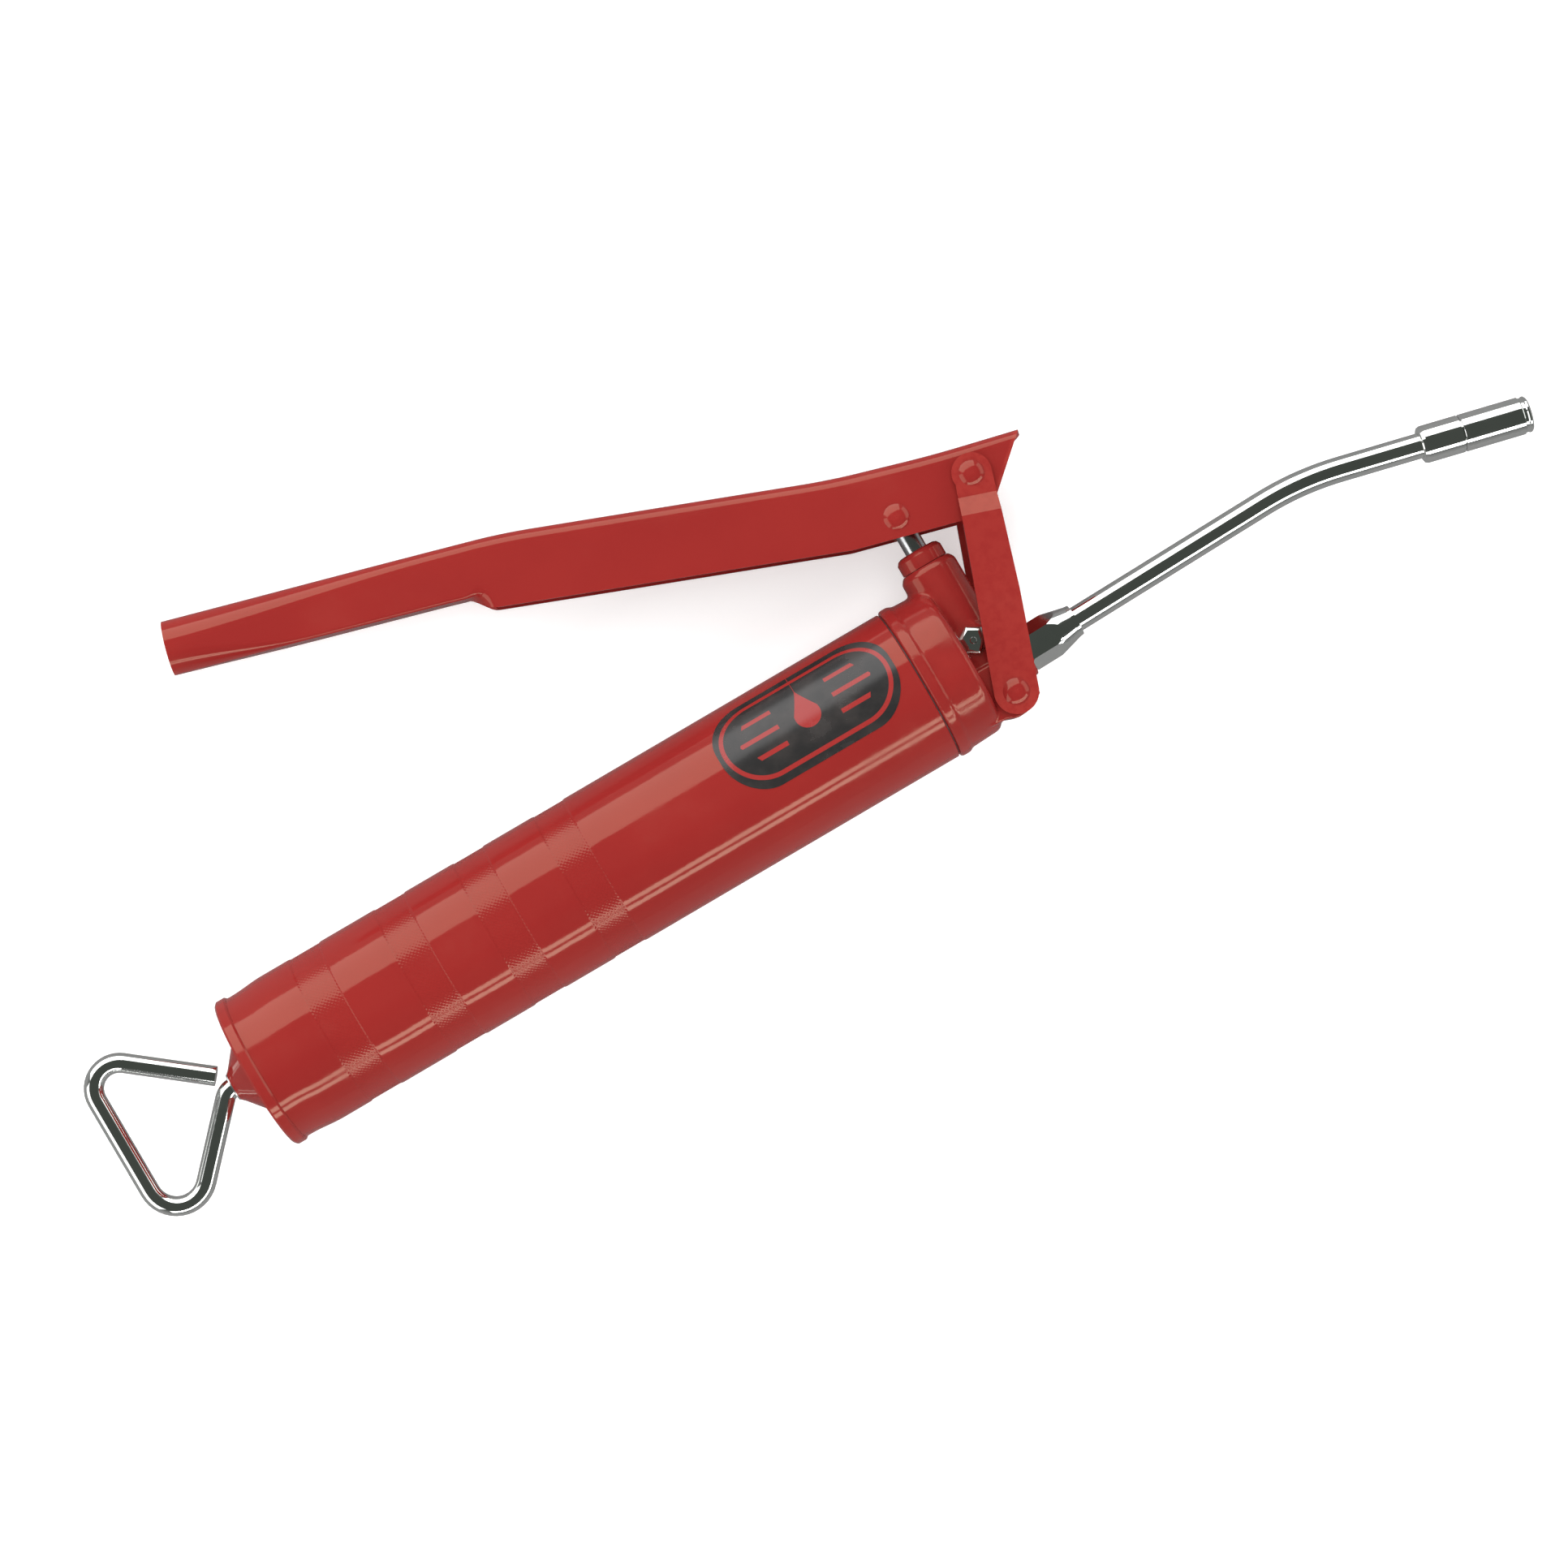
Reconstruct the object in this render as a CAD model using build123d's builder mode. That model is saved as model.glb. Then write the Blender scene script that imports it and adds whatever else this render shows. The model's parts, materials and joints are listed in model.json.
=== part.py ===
"""Lever-action grease gun with a 14 oz barrel, lying on its side. Millimetres, +Z up.

The gun's own directions are x along the barrel towards the nozzle, y from the barrel towards the
lever, and z across the lever. The gun lies on the round barrel and on the end of the handle, so
its own z leans from the vertical by lie_angle. Every piece is drawn on a plane of the gun.
"""

import os
from math import asin, cos, hypot, radians, sin

from build123d import *

os.makedirs("parts", exist_ok=True)

# how the gun lies: the row's origin is the centre of the base of its bounding box
lie_angle = 7.8
collar_r = 28.95
middle_x = -45.78
middle_y = 59.62

# barrel, with its closed end at the back
barrel_r = 28.25
barrel_bore_r = 26.85
barrel_front = -2.0
barrel_back = -262.6
neck_r = 27.45
groove_depth = 0.45
groove_width = 12.0
groove_centres = [-231.1, -197.3, -165.8, -133.9]
lip_x = -265.0
lip_r = 28.3
boss_tip_x = -275.6

# follower and its rod
rod_r = 3.5
rod_bend_x = -278.5
handle_back_x = -318.7
handle_low_corner = -43.0
handle_high_corner = 37.8
handle_bends = [5.9, 10.5, 8.8]
handle_wire_end = (-279.2, 6.3)
follower_x = -15.0
running_gap = 0.05

# pump in the head
pump_x = 21.2
pump_boss_r = 10.5
gland_top = 40.6
plunger_r = 4.0
bleeder_spot = (21.5, 3.8)

# pivots of the lever linkage: link to head, link to lever, plunger to lever
head_pivot = (25.2, -18.8)
lever_pivot = (50.2, 53.8)
plunger_pivot = (20.4, 53.8)
pivot_r = 3.0
link_thickness = 2.5
link_top_z = 10.7
link_foot_z = 13.7

# lever
lever_half_width = 10.5
lever_sheet = 2.0
lever_corner_r = 4.5
handle_r = 9.6
handle_end = (-218.9, 141.9)
handle_start = (-112.0, 111.7)

# outlet pipe and its coupler
outlet_start = (22.2, -8.75)
pipe_bend = (148.0, -5.7)
coupler_start = (190.8, -16.3)
pipe_r = 4.5
pipe_bore_r = 2.2
pipe_bend_r = 110.0
coupler_r = 6.65
coupler_length = 39.6
nipple_r = 3.4

# the four springs: wire radius and mean radius
main_spring = (1.1, 21.0)
check_spring_size = (0.4, 2.5)
coupler_spring_size = (0.45, 4.4)
bleeder_spring_size = (0.2, 1.45)

lean = radians(lie_angle)
gun = Plane(
    origin=(-middle_x, -middle_y * cos(lean), collar_r),
    x_dir=(1, 0, 0),
    z_dir=(0, sin(lean), cos(lean)),
)


def spot(x, y=0.0, z=0.0):
    """A point given in the gun's own directions."""
    return gun.from_local_coords(Vector(x, y, z))


def gun_layer(z):
    """The plane across the lever's width, z above the middle of the gun."""
    return gun.offset(z)


def cross_section(x, y=0.0):
    """The plane square to the barrel; its x runs towards the lever."""
    return Plane(origin=spot(x, y), x_dir=gun.y_dir, z_dir=gun.x_dir)


def pump_level(y):
    """The plane square to the pump's bore; its x runs towards the nozzle."""
    return Plane(origin=spot(pump_x, y), x_dir=gun.x_dir, z_dir=gun.y_dir)


def line_frame(start, end):
    """The plane of the gun's middle with its x along the line from start to end."""
    along = spot(*end) - spot(*start)
    return Plane(origin=spot(*start), x_dir=along, z_dir=gun.z_dir)


def station(frame, distance):
    """The plane square to a line_frame, that far along it."""
    origin = frame.from_local_coords(Vector(distance, 0, 0))
    return Plane(origin=origin, x_dir=frame.y_dir, z_dir=frame.x_dir)


def turned(points, plane):
    """Revolves a closed outline, given as (along, radius), about the plane's x axis."""
    with BuildPart() as made:
        with BuildSketch(plane):
            with BuildLine():
                Polyline(*points, close=True)
            make_face()
        revolve(axis=Axis(plane.origin, plane.x_dir))
    return made


def coil(frame, size, start, end, turns):
    """A helical spring along the frame's x axis, from start to end."""
    wire_r, mean_r = size
    base = frame.from_local_coords(Vector(start, 0, 0))
    length = end - start
    with BuildPart() as made:
        with BuildLine():
            wire = Helix(length / turns, length, mean_r, center=base, direction=frame.x_dir)
        with BuildSketch(Plane(origin=wire @ 0, z_dir=wire % 0)):
            Circle(wire_r)
        sweep(path=wire, is_frenet=True)
    return made


def save(made, name):
    made.part.label = name
    export_step(made.part, f"parts/{name}.step")


barrel_frame = gun
pump_frame = Plane(origin=spot(pump_x, 0), x_dir=gun.y_dir, z_dir=gun.z_dir)
outlet_frame = line_frame(outlet_start, pipe_bend)
link_frame = line_frame(head_pivot, lever_pivot)
handle_frame = line_frame(handle_end, handle_start)
coupler_frame = Plane(
    origin=spot(*coupler_start), x_dir=spot(*coupler_start) - spot(*pipe_bend), z_dir=gun.z_dir
)

# ---------------------------------------------------------------- barrel

with BuildPart() as barrel_tube:
    with BuildSketch(barrel_frame):
        with BuildLine():
            Polyline(
                (barrel_front, barrel_bore_r),
                (barrel_front, barrel_r),
                (-248.5, barrel_r),
                (barrel_back + 2, neck_r),
                (barrel_back, neck_r),
                (barrel_back, barrel_bore_r - 0.4),
                (barrel_back + 2, barrel_bore_r - 0.4),
                (barrel_back + 5, barrel_bore_r),
                close=True,
            )
        make_face()
        groove_spots = [(x, barrel_r) for x in groove_centres]
        with Locations(*groove_spots):
            RectangleRounded(groove_width, 2 * groove_depth, 0.4, mode=Mode.SUBTRACT)
    revolve(axis=Axis(barrel_frame.origin, barrel_frame.x_dir))
save(barrel_tube, "barrel_tube")

# the pressed cap: a seam folded over the end of the tube, a flat ring and a cone for the rod
with BuildPart() as end_cap:
    with BuildSketch(barrel_frame):
        with BuildLine():
            Polyline(
                (barrel_back, 27.5),
                (barrel_back, lip_r - 0.6),
                (barrel_back - 0.7, lip_r),
                (lip_x - 1.2, lip_r),
                (lip_x - 2, lip_r - 0.8),
                (lip_x - 2, 26.2),
                (lip_x - 0.6, 24.6),
                (lip_x - 0.6, 17.2),
                (boss_tip_x + 1.2, 6.4),
                (boss_tip_x, 5.2),
                (boss_tip_x, 4.6),
                (boss_tip_x + 3.4, 4.6),
                (lip_x + 1.2, 16.4),
                (lip_x + 1.2, 25.0),
                (barrel_back + 0.2, 26.2),
                (barrel_back + 3.0, 26.2),
                (barrel_back + 3.0, 25.4),
                (barrel_back + 5.0, 25.4),
                (barrel_back + 5.0, 26.4),
                (barrel_back, 26.4),
                close=True,
            )
        make_face()
    revolve(axis=Axis(barrel_frame.origin, barrel_frame.x_dir))
save(end_cap, "end_cap")

rod_bush = turned(
    [
        (boss_tip_x - 0.5, rod_r + running_gap),
        (boss_tip_x - 0.5, 5.0),
        (boss_tip_x, 5.0),
        (boss_tip_x, 4.6),
        (boss_tip_x + 3.4, 4.6),
        (boss_tip_x + 3.4, rod_r + running_gap),
    ],
    barrel_frame,
)
save(rod_bush, "rod_bush")

barrel_gasket = turned(
    [
        (barrel_front, barrel_bore_r + 0.05),
        (barrel_front, 27.4),
        (-1.5, 27.4),
        (-1.5, barrel_bore_r + 0.05),
    ],
    barrel_frame,
)
save(barrel_gasket, "barrel_gasket")

# a printed label: a thin round-ended patch of film wrapped round the barrel, on the upper side
with BuildPart() as barrel_label:
    with BuildSketch(cross_section(-76)):
        Circle(barrel_r + 0.14)
        Circle(barrel_r, mode=Mode.SUBTRACT)
    extrude(amount=70)
    label_plane = Plane(
        origin=spot(-41, 0), x_dir=gun.x_dir, z_dir=gun.z_dir.rotate(Axis((0, 0, 0), gun.x_dir), -25)
    )
    with BuildSketch(label_plane):
        RectangleRounded(68, 34, 15)
    extrude(amount=barrel_r + 5, mode=Mode.INTERSECT)
save(barrel_label, "barrel_label")

# ---------------------------------------------------------------- follower, rod and main spring

back_plate = turned(
    [(-28.4, rod_r + 0.1), (-28.4, 20.0), (-26.9, 20.0), (-26.9, rod_r + 0.1)], barrel_frame
)
save(back_plate, "follower_back_plate")

follower_cup = turned(
    [
        (-26.9, rod_r + running_gap),
        (-26.9, 24.6),
        (-25.0, 26.2),
        (follower_x, 26.5),
        (follower_x, 25.3),
        (-23.0, 24.2),
        (-24.2, 23.0),
        (-24.2, rod_r + running_gap),
    ],
    barrel_frame,
)
save(follower_cup, "follower_cup")

front_plate = turned(
    [(-24.2, rod_r + 0.1), (-24.2, 21.0), (-22.7, 21.0), (-22.7, rod_r + 0.1)], barrel_frame
)
save(front_plate, "follower_front_plate")

rod_washer = turned(
    [(-22.6, rod_r), (-22.6, 7.5), (-21.4, 7.5), (-21.4, rod_r)], barrel_frame
)
save(rod_washer, "rod_washer")

with BuildPart() as rod_nut:
    with BuildSketch(cross_section(-21.4)):
        RegularPolygon(6.0, 6, major_radius=False)
        Circle(rod_r, mode=Mode.SUBTRACT)
    extrude(amount=4.6)
    chamfer(rod_nut.edges().filter_by(GeomType.CIRCLE).group_by(Axis.X)[-1], 0.3)
save(rod_nut, "rod_nut")

follower_spring = coil(barrel_frame, main_spring, -260.2, -29.6, 18)
save(follower_spring, "follower_spring")

# one wire makes the rod and, bent into a triangle, the pull handle
with BuildPart() as follower_rod:
    with BuildLine(barrel_frame):
        rod_path = FilletPolyline(
            (-17.4, 0),
            (rod_bend_x, 0),
            (handle_back_x, handle_low_corner),
            (handle_back_x, handle_high_corner),
            handle_wire_end,
            radius=handle_bends,
        )
    with BuildSketch(cross_section(-17.4)):
        Circle(rod_r)
    sweep(path=rod_path)
save(follower_rod, "follower_rod")

# ---------------------------------------------------------------- head

with BuildPart() as head_casting:
    # the cup that screws into the barrel, with its collar and its domed front
    with BuildSketch(barrel_frame):
        with BuildLine():
            Polyline((16.6, 0), (-13, 0), (-13, 26.75), (-1.5, 26.75), (-1.5, collar_r - 0.5))
            Polyline((-1.5, collar_r - 0.5), (-1, collar_r), (2.4, collar_r), (2.9, collar_r - 0.5))
            Polyline((2.9, collar_r - 0.5), (2.9, 28.1), (13.4, 27.6))
            ThreePointArc((13.4, 27.6), (15.7, 26.6), (16.6, 24.4))
            Line((16.6, 24.4), (16.6, 0))
        make_face()
    revolve(axis=Axis(barrel_frame.origin, barrel_frame.x_dir))
    # pump cylinder
    with BuildSketch(pump_level(-23)):
        Circle(pump_boss_r)
    extrude(amount=55.4)
    with BuildSketch(pump_level(32.4)):
        Circle(pump_boss_r)
    with BuildSketch(pump_level(34.6)):
        Circle(8.9)
    loft()
    # foot that carries the link pin
    with BuildSketch(gun_layer(-13.4)):
        with BuildLine():
            Polyline(
                (21.6, -27.0), (25.4, -26.8), (32.4, -23.4), (32.6, -16.0), (31.0, -6.0),
                (10, -6), (12, -25.0), (17.6, -25.4), close=True,
            )
        make_face()
        fillet(vertices().filter_by_position(Axis.X, spot(20, 0).X, spot(40, 0).X), 1.1)
    extrude(amount=26.8)
    # outlet boss
    with BuildSketch(station(outlet_frame, 0)):
        Circle(9.2)
    extrude(amount=14)
    # pad for the bleeder
    with BuildSketch(gun_layer(4)):
        with Locations(bleeder_spot):
            Circle(6.4)
    extrude(amount=6.6)
    # grease chamber and inlet port
    with BuildSketch(cross_section(-13)):
        Circle(24.2)
    extrude(amount=22.5, mode=Mode.SUBTRACT)
    with BuildSketch(cross_section(9, 5.5)):
        Circle(2.4)
    extrude(amount=13, mode=Mode.SUBTRACT)
    # pump bore, with the packing's seat and the gland's thread at its mouth
    with BuildSketch(pump_level(-14)):
        Circle(plunger_r + running_gap)
    extrude(amount=60, mode=Mode.SUBTRACT)
    with BuildSketch(pump_level(22)):
        Circle(6.6)
    extrude(amount=20, mode=Mode.SUBTRACT)
    # outlet passage, ball chamber and adapter thread
    with BuildSketch(station(outlet_frame, 0)):
        Circle(2.0)
    extrude(amount=20, mode=Mode.SUBTRACT)
    with BuildSketch(station(outlet_frame, 7)):
        Circle(5.4)
    extrude(amount=10, mode=Mode.SUBTRACT)
    # bleeder thread and its passage
    with BuildSketch(gun_layer(3)):
        with Locations(bleeder_spot):
            Circle(1.2)
    extrude(amount=5, mode=Mode.SUBTRACT)
    with BuildSketch(gun_layer(5)):
        with Locations(bleeder_spot):
            Circle(2.9)
    extrude(amount=8, mode=Mode.SUBTRACT)
    # bore for the link pin
    with BuildSketch(gun_layer(-20)):
        with Locations(head_pivot):
            Circle(pivot_r + running_gap)
    extrude(amount=40, mode=Mode.SUBTRACT)
save(head_casting, "head_casting")

# the packing ring under the gland nut
plunger_packing = turned(
    [(22, plunger_r + running_gap), (22, 6.6), (27.5, 6.6), (27.5, plunger_r + running_gap)],
    pump_frame,
)
save(plunger_packing, "plunger_packing")

gland_nut = turned(
    [
        (27.6, plunger_r + running_gap),
        (27.6, 6.5),
        (34.7, 6.5),
        (34.7, 8.5),
        (gland_top - 1.8, 8.5),
        (gland_top - 0.5, 7.6),
        (gland_top, 6.4),
        (gland_top, plunger_r + running_gap),
    ],
    pump_frame,
)
save(gland_nut, "gland_nut")

# ---------------------------------------------------------------- plunger

slot_x = plunger_pivot[0] + 0.15
with BuildPart() as plunger:
    with BuildSketch(pump_level(0)):
        Circle(plunger_r)
    extrude(amount=49.5)
    chamfer(plunger.edges().filter_by(GeomType.CIRCLE).group_by(Axis.Y)[0], 0.5)
    with BuildSketch(gun_layer(-4)):
        with Locations((slot_x, plunger_pivot[1])):
            SlotCenterToCenter(2.4, 11.6)
    extrude(amount=8)
    with BuildSketch(gun_layer(-6)):
        with Locations((slot_x, plunger_pivot[1])):
            SlotCenterToCenter(2.1, 6.6)
    extrude(amount=12, mode=Mode.SUBTRACT)
save(plunger, "plunger")

# ---------------------------------------------------------------- check valve and bleeder

with BuildPart() as check_ball:
    with BuildSketch(outlet_frame):
        with Locations((9.3, 0)):
            Circle(3.0)
            Rectangle(8, 8, align=(Align.CENTER, Align.MAX), mode=Mode.SUBTRACT)
    revolve(axis=Axis(outlet_frame.origin, outlet_frame.x_dir))
save(check_ball, "check_ball")

check_spring = coil(outlet_frame, check_spring_size, 12.9, 19.4, 5)
save(check_spring, "check_spring")

with BuildPart() as bleeder_body:
    with BuildSketch(gun_layer(5.1)):
        with Locations(bleeder_spot):
            Circle(2.9)
    extrude(amount=5.5)
    with BuildSketch(gun_layer(10.6)):
        with Locations(bleeder_spot):
            RegularPolygon(4.7, 6, major_radius=False, rotation=30)
    extrude(amount=2.5)
    hexagon_top = bleeder_body.faces().sort_by(Axis(gun.origin, gun.z_dir))[-1]
    chamfer(hexagon_top.edges(), 0.8)
    with BuildSketch(gun_layer(5)):
        with Locations(bleeder_spot):
            Circle(1.0)
    extrude(amount=2, mode=Mode.SUBTRACT)
    with BuildSketch(gun_layer(6.2)):
        with Locations(bleeder_spot):
            Circle(2.2)
    extrude(amount=5.4, mode=Mode.SUBTRACT)
    with BuildSketch(gun_layer(11)):
        with Locations(bleeder_spot):
            Circle(1.3)
    extrude(amount=4, mode=Mode.SUBTRACT)
save(bleeder_body, "bleeder_body")

bleeder_frame = Plane(origin=spot(*bleeder_spot, 0), x_dir=gun.z_dir, z_dir=gun.x_dir)
bleeder_pin = turned(
    [
        (5.5, 0), (5.5, 0.8), (10.5, 0.8), (10.5, 1.9), (11.4, 1.9), (11.4, 1.2),
        (13.3, 1.2), (13.5, 1.0), (13.5, 0),
    ],
    bleeder_frame,
)
save(bleeder_pin, "bleeder_pin")

bleeder_spring = coil(bleeder_frame, bleeder_spring_size, 6.5, 10.2, 5)
save(bleeder_spring, "bleeder_spring")

# ---------------------------------------------------------------- outlet, pipe and coupler

# hexagon that tapers to the pipe's socket, with the ball's chamber in its thread
with BuildPart() as outlet_adapter:
    with BuildSketch(station(outlet_frame, 7.1)):
        Circle(5.4)
    extrude(amount=6.9)
    with BuildSketch(station(outlet_frame, 14)):
        RegularPolygon(7.0, 6, major_radius=False)
    extrude(amount=20.5)
    with BuildSketch(outlet_frame):
        with BuildLine():
            Polyline(
                (6, 0), (6, 5.4), (14, 5.4), (14, 7.4), (14.8, 8.2), (24, 8.2), (33, 5.9), (34.5, 5.7),
                (34.5, 0), close=True,
            )
        make_face()
    revolve(axis=Axis(outlet_frame.origin, outlet_frame.x_dir), mode=Mode.INTERSECT)
    with BuildSketch(station(outlet_frame, 7)):
        Circle(3.5)
    extrude(amount=12.6, mode=Mode.SUBTRACT)
    with BuildSketch(station(outlet_frame, 7)):
        Circle(pipe_bore_r)
    extrude(amount=30, mode=Mode.SUBTRACT)
    with BuildSketch(station(outlet_frame, 27)):
        Circle(pipe_r)
    extrude(amount=10, mode=Mode.SUBTRACT)
save(outlet_adapter, "outlet_adapter")

pipe_start = outlet_frame.from_local_coords(Vector(27, 0, 0))
pipe_end = coupler_frame.from_local_coords(Vector(9, 0, 0))
with BuildPart() as extension_pipe:
    with BuildLine():
        pipe_path = FilletPolyline(pipe_start, spot(*pipe_bend), pipe_end, radius=pipe_bend_r)
    with BuildSketch(station(outlet_frame, 27)):
        Circle(pipe_r)
        Circle(pipe_bore_r, mode=Mode.SUBTRACT)
    sweep(path=pipe_path)
save(extension_pipe, "extension_pipe")

coupler_body = turned(
    [
        (0, pipe_r),
        (0, coupler_r - 1.2),
        (0.4, coupler_r - 0.4),
        (1.4, coupler_r),
        (14.6, coupler_r),
        (15, coupler_r - 0.4),
        (15, 5.3),
        (19, 5.3),
        (19, pipe_bore_r),
        (9, pipe_bore_r),
        (9, pipe_r),
    ],
    coupler_frame,
)
save(coupler_body, "coupler_body")

coupler_cap = turned(
    [
        (15.1, 5.4),
        (15.1, coupler_r - 0.4),
        (15.5, coupler_r),
        (36.6, coupler_r),
        (37.0, coupler_r - 0.5),
        (38.0, coupler_r - 0.5),
        (38.4, coupler_r - 0.2),
        (coupler_length - 0.6, coupler_r - 0.2),
        (coupler_length, coupler_r - 0.8),
        (coupler_length, 4.2),
        (coupler_length - 1.2, 4.0),
        (coupler_length - 5.5, 5.4),
    ],
    coupler_frame,
)
save(coupler_cap, "coupler_cap")

coupler_spring = coil(coupler_frame, coupler_spring_size, 19.6, 24.4, 4)
save(coupler_spring, "coupler_spring")

coupler_seal = turned(
    [(25.0, 1.5), (25.0, 5.0), (26.4, 5.0), (26.4, 3.2), (28.2, 2.8), (28.2, 1.5)], coupler_frame
)
save(coupler_seal, "coupler_seal")

# four jaws: a ring cut by two crossed slots, with a cone that the cap's nose closes on
with BuildPart() as coupler_jaws:
    with BuildSketch(coupler_frame):
        with BuildLine():
            Polyline(
                (26.5, nipple_r + 0.3), (26.5, 5.2), (33.6, 5.2), (37.8, 3.95), (37.8, nipple_r),
                (28.5, nipple_r), (28.5, nipple_r + 0.3), close=True
            )
        make_face()
    revolve(axis=Axis(coupler_frame.origin, coupler_frame.x_dir))
    with BuildSketch(station(coupler_frame, 26)):
        for turn in (45, 135):
            Rectangle(0.9, 20, rotation=turn)
    extrude(amount=14, mode=Mode.SUBTRACT)
save(coupler_jaws, "coupler_jaws")

# ---------------------------------------------------------------- link plates and pins

link_length = hypot(lever_pivot[0] - head_pivot[0], lever_pivot[1] - head_pivot[1])
for side, name in ((1, "link_plate_near"), (-1, "link_plate_far")):
    # the side view of a plate along its length: it steps out just below the lever
    edge_plane = Plane(
        origin=link_frame.from_local_coords(Vector(0, -12, 0)),
        x_dir=link_frame.x_dir,
        z_dir=link_frame.y_dir,
    )
    foot, top, sheet = link_foot_z, link_top_z, link_thickness
    step_low, step_high = link_length - 14.6, link_length - 8.2
    with BuildPart() as link_plate:
        with BuildSketch(edge_plane):
            with BuildLine():
                Polyline(
                    *[
                        (u, -side * z)
                        for u, z in (
                            (-12, foot), (step_low, foot), (step_high, top), (link_length + 12, top),
                            (link_length + 12, top + sheet), (step_high + 0.4, top + sheet),
                            (step_low + 0.4, foot + sheet), (-12, foot + sheet),
                        )
                    ],
                    close=True,
                )
            make_face()
        extrude(amount=24)
        with BuildSketch(link_frame.offset(-20)):
            with BuildLine():
                Polyline((0, -7.8), (link_length * 0.45, -8.1), (link_length, -7.0), (link_length, 6.2),
                         (0, 7.8), close=True)
            make_face()
            Circle(7.8)
            with Locations((link_length, 0)):
                Circle(7.0)
            with Locations((0, 0), (link_length, 0)):
                Circle(pivot_r, mode=Mode.SUBTRACT)
        extrude(amount=40, mode=Mode.INTERSECT)
    save(link_plate, name)


def rivet(spot_xy, half_length, head_r, head_height):
    """A pin headed into a shallow dome at both ends."""
    frame = Plane(origin=spot(*spot_xy), x_dir=gun.z_dir, z_dir=gun.x_dir)
    dome_r = (head_height**2 + head_r**2) / (2 * head_height)
    half_arc = asin(head_r / dome_r) / 2
    crown = half_length + head_height
    shoulder = (crown - dome_r * (1 - cos(half_arc)), dome_r * sin(half_arc))
    with BuildPart() as made:
        with BuildSketch(frame):
            with BuildLine():
                Line((-crown, 0), (crown, 0))
                ThreePointArc((crown, 0), shoulder, (half_length, head_r))
                Polyline(
                    (half_length, head_r), (half_length, pivot_r), (-half_length, pivot_r),
                    (-half_length, head_r),
                )
                ThreePointArc((-half_length, head_r), (-shoulder[0], shoulder[1]), (-crown, 0))
            make_face()
        revolve(axis=Axis(frame.origin, frame.x_dir))
    return made


save(rivet(head_pivot, link_foot_z + link_thickness, 4.7, 1.9), "link_pin")
save(rivet(lever_pivot, link_top_z + link_thickness, 4.5, 1.8), "lever_pin")
save(rivet(plunger_pivot, lever_half_width, 4.6, 1.8), "plunger_pin")

# ---------------------------------------------------------------- lever

# a pressed channel, open towards the barrel, that closes into a round handle
lever_outline = [
    (72.2, 58.9), (42.0, 66.2), (7.0, 76.6), (-100.0, 118.0), (-116.5, 122.7), (-121.8, 104.2),
    (-119.3, 102.0), (-114.1, 96.4), (2.0, 51.3), (49.1, 38.6), (72.0, 55.3),
]
lever_hollow = [
    (90.0, 52.6), (42.0, 64.1), (6.6, 74.5), (-100.5, 115.9), (-104.0, 116.9), (-104.0, 60.0),
    (90.0, 10.0),
]
with BuildPart() as channel_core:
    with BuildSketch(gun_layer(-lever_half_width + lever_sheet)):
        with BuildLine():
            Polyline(*lever_hollow, close=True)
        make_face()
    extrude(amount=2 * (lever_half_width - lever_sheet))
    core_edges = [
        e for e in channel_core.edges()
        if abs(abs(gun.to_local_coords(e.center()).Z) - lever_half_width + lever_sheet) < 0.01
        and gun.to_local_coords(e.center()).Y > 52
        and abs(gun.to_local_coords(e.center()).X) < 103
    ]
    fillet(core_edges, lever_corner_r - lever_sheet)

with BuildPart() as lever:
    with BuildSketch(gun_layer(-lever_half_width)):
        with BuildLine():
            Polyline(*lever_outline, close=True)
        make_face()
        fillet([v for v in vertices() if abs(v.X - spot(7, 0).X) < 0.5], 200)
        fillet([v for v in vertices() if abs(v.X - spot(-100, 0).X) < 0.5], 150)
    extrude(amount=2 * lever_half_width)
    top_edges = [
        e for e in lever.edges()
        if abs(abs(gun.to_local_coords(e.center()).Z) - lever_half_width) < 0.01
        and gun.to_local_coords(e.center()).Y > 58.5
        and gun.to_local_coords(e.center()).X > -112
    ]
    fillet(top_edges, lever_corner_r)
    add(channel_core.part, mode=Mode.SUBTRACT)
    with BuildSketch(station(handle_frame, 0)):
        Circle(handle_r)
    extrude(amount=111)
    with BuildSketch(station(handle_frame, 0)):
        Circle(handle_r - lever_sheet)
    extrude(amount=118, mode=Mode.SUBTRACT)
    with BuildSketch(gun_layer(-20)):
        with Locations(lever_pivot):
            Circle(pivot_r + running_gap)
        with Locations(plunger_pivot):
            Circle(pivot_r)
    extrude(amount=40, mode=Mode.SUBTRACT)
save(lever, "lever")
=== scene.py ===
import json
import math

import bmesh
import bpy
import numpy as np
from mathutils import Euler, Matrix, Vector


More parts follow.
